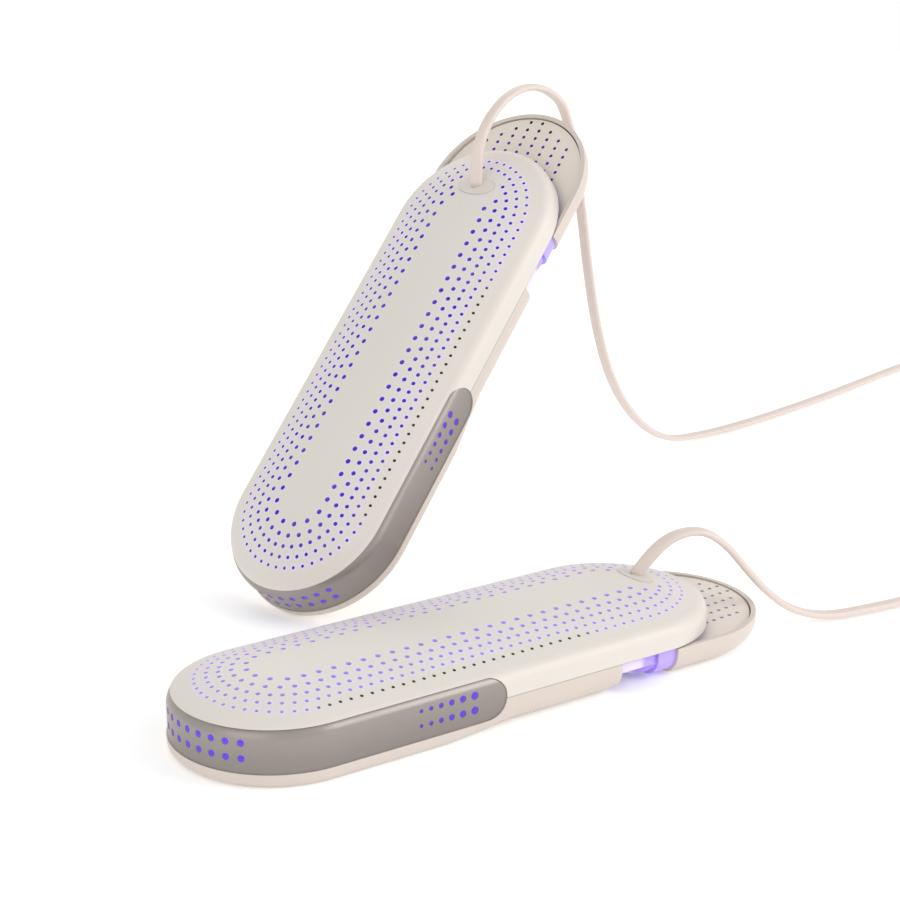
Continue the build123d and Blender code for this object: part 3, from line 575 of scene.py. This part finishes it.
def lying_route():
    return [
        lying(*EXIT), lying(85.0, -4.0, 33.5), lying(92.5, -7.6, 40.5), lying(103.0, -11.5, 41.5),
        lying(112.0, -14.8, 34.5), lying(119.5, -17.5, 24.5), lying(127.5, -20.3, 14.8),
        lying(137.0, -23.8, 6.5),
        lying(151.0, -27.8, CORD_Z), lying(168.0, -31.0, CORD_Z), yard(3, 4), yard(24, 26), yard(56, 42),
        yard(100, 49), yard(150, 51), yard(200, 49), yard(250, 46), yard(298, 48), yard(332, 62),
        yard(347, 88),
        yard(340, 112), yard(318, SPLITTER[1] - LEG_GAP / 2, 3.4),
        yard(SPLITTER[0] + SPLITTER_SIZE[0] / 2, SPLITTER[1] - LEG_GAP / 2, SPLITTER_SIZE[2] / 2),
    ]


def leaning_route():
    return [
        leaning(*EXIT), leaning(85.5, -2.5, 33.5), leaning(94, -3.2, 39.5), leaning(105, -3.8, 41.0),
        leaning(117, -4.0, 38.0), leaning(128, -4.0, 30.0), leaning(135.5, -4.0, 18.0),
        leaning(138.5, -4.0, 2.0),
        lying(166.5, 143.0, 128.0), lying(172.5, 145.3, 100.0), lying(181.0, 148.3, 70.0),
        lying(194.0, 153.0, 44.0), lying(214.0, 160.0, 22.0), lying(240.0, 169.0, 6.0),
        lying(268.0, 175.5, CORD_Z), lying(300.0, 178.0, CORD_Z), lying(335.0, 184.5, CORD_Z),
        lying(370.0, 192.0, CORD_Z), lying(405.0, 201.0, CORD_Z), yard(358, 2), yard(388, 22), yard(406, 54),
        yard(402, 88), yard(380, 116), yard(346, 128.5), yard(320, SPLITTER[1] + LEG_GAP / 2, 3.6),
        yard(SPLITTER[0] + SPLITTER_SIZE[0] / 2, SPLITTER[1] + LEG_GAP / 2, SPLITTER_SIZE[2] / 2),
    ]


def coil_turns():
    """The main lead's turns: in along the lower layer, and out again along the upper one."""
    points, steps = [], 16
    total = COIL_TURNS * steps
    for k in range(1, total):
        turn = k / steps
        half = COIL_TURNS / 2
        inwards = turn if turn < half else COIL_TURNS - turn
        radius = COIL_R + COLUMN * (half - 1) / 2 - COLUMN * min(inwards, half - 1) + 0.35 * math.sin(5.1 * k)
        rise = min(max((turn - half + 0.35) / 0.7, 0.0), 1.0)
        z = COIL_LAYERS[0] + (COIL_LAYERS[1] - COIL_LAYERS[0]) * rise
        angle = math.pi / 2 + 2 * math.pi * turn
        points.append(yard(COIL[0] + radius * math.cos(angle), COIL[1] + radius * math.sin(angle), z))
    return points


def main_route():
    start = [
        yard(SPLITTER[0] - SPLITTER_SIZE[0] / 2, SPLITTER[1], SPLITTER_SIZE[2] / 2),
        yard(254, SPLITTER[1], SPLITTER_SIZE[2] / 2), yard(238, 127.6, 3.2), yard(222, 130.0, 3.4),
    ]
    end = [yard(178, 130.0, 8.4), yard(158, PLUG[1], PLUG_Z), yard(*PLUG, PLUG_Z)]
    return start + coil_turns() + end


def smooth_line(name, points):
    """Points along the NURBS curve that has the route's points as its control points."""
    curve = bpy.data.curves.new(name, "CURVE")
    curve.dimensions = "3D"
    spline = curve.splines.new("NURBS")
    spline.points.add(len(points) - 1)
    for knot, point in zip(spline.points, points):
        knot.co = (*point, 1)
    spline.order_u = 3
    spline.use_endpoint_u = True
    spline.resolution_u = 8
    holder = bpy.data.objects.new(name, curve)
    bpy.context.scene.collection.objects.link(holder)
    bpy.context.view_layer.update()
    line = bpy.data.meshes.new_from_object(holder)
    found = [v.co.copy() for v in line.vertices]
    bpy.data.objects.remove(holder)
    bpy.data.meshes.remove(line)
    return found


START_STEPS = 12


def cord_across(line, in_coil, first):
    """Unit vectors along the flat cord's width: level on the floor and in the air, upright in the coil."""
    across, last = [], first
    for k, point in enumerate(line):
        ahead = (line[min(k + 1, len(line) - 1)] - line[max(k - 1, 0)]).normalized()
        level = ahead.cross(Vector((0, 0, 1)))
        if in_coil(point):
            wish = Vector((0, 0, 1))
        elif k > START_STEPS and level.length > 0.35:
            wish = level.normalized()
        else:
            wish = last
        if wish.dot(last) < 0:
            wish = -wish
        last = wish
        across.append(wish)
    reach = 10
    smooth = []
    for k, point in enumerate(line):
        ahead = (line[min(k + 1, len(line) - 1)] - line[max(k - 1, 0)]).normalized()
        near = across[max(0, k - reach):k + reach + 1]
        mean = sum(near, Vector((0, 0, 0)))
        mean -= ahead * mean.dot(ahead)
        smooth.append(mean.normalized())
    return smooth


def flat_cord(name, route, material, first, in_coil=lambda point: False):
    """Flat two-core cord: an oval section with a shallow groove on each face, swept along its route."""
    line = smooth_line(name, route)
    across = cord_across(line, in_coil, first)
    sides = 20
    mesh = bpy.data.meshes.new(name)
    made = bmesh.new()
    rings = []
    for k, point in enumerate(line):
        ahead = (line[min(k + 1, len(line) - 1)] - line[max(k - 1, 0)]).normalized()
        wide = across[k]
        thick = wide.cross(ahead).normalized()
        ring = []
        for j in range(sides):
            a = 2 * math.pi * j / sides
            c, s = math.cos(a), math.sin(a)
            groove = 1 - 0.07 * math.exp(-(c / 0.22) ** 2)
            u = CORD_W / 2 * math.copysign(abs(c) ** 0.8, c)
            v = CORD_T / 2 * math.copysign(abs(s) ** 0.8, s) * groove
            ring.append(made.verts.new(point + wide * u * MM + thick * v * MM))
        rings.append(ring)
    for one, two in zip(rings, rings[1:]):
        for j in range(sides):
            made.faces.new((one[j - 1], one[j], two[j], two[j - 1]))
    made.faces.new(rings[0])
    made.faces.new(list(reversed(rings[-1])))
    bmesh.ops.recalc_face_normals(made, faces=made.faces)
    made.to_mesh(mesh)
    made.free()
    for face in mesh.polygons:
        face.use_smooth = len(face.vertices) == 4
    cord = bpy.data.objects.new(name, mesh)
    bpy.context.scene.collection.objects.link(cord)
    mesh.materials.append(material)
    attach(cord, "inserts")
    length = sum((b - a).length for a, b in zip(line, line[1:]))
    return cord, line, length


def add_cords():
    sheath = moulded("cord_sheath", (0.70, 0.60, 0.55), 0.38, grain=0.00002, variation=0.05)[0]
    for name, route in (("lying", lying_route()), ("leaning", leaning_route())):
        first = INSERTS[name].to_3x3() @ Vector((-0.45, 0.85, 0.3)).normalized()
        cord, line, length = flat_cord(f"{name}_flat_cord", route, sheath, first)
        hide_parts(f"{name}_cord")
    middle = yard(*COIL, 0)
    reach = (COIL_R + 9) * MM

    def in_coil(point):
        return (Vector(point.xy) - Vector(middle.xy)).length < reach

    first = Vector((-0.687, 0.727, 0))
    cord, line, length = flat_cord("main_flat_cord", main_route(), sheath, first, in_coil)
    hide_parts("main_lead", "lead_coil", "lead_tail")
    moulding = moulded("plug_moulding", (0.72, 0.66, 0.60), 0.33)[0]
    dress("lead_splitter", moulding)
    dress("plug_body", moulding)
    dress("plug_pins", metal("nickel", (0.80, 0.78, 0.72), 0.2))
    dress("coil_tie", tape_material())


make_camera()
make_stage()
add_cords()
dress_inserts()
glow = diffuser_material()
for insert, place in INSERTS.items():
    add_diffuser(insert, place, glow)
    add_band_glow(insert, place, glow)
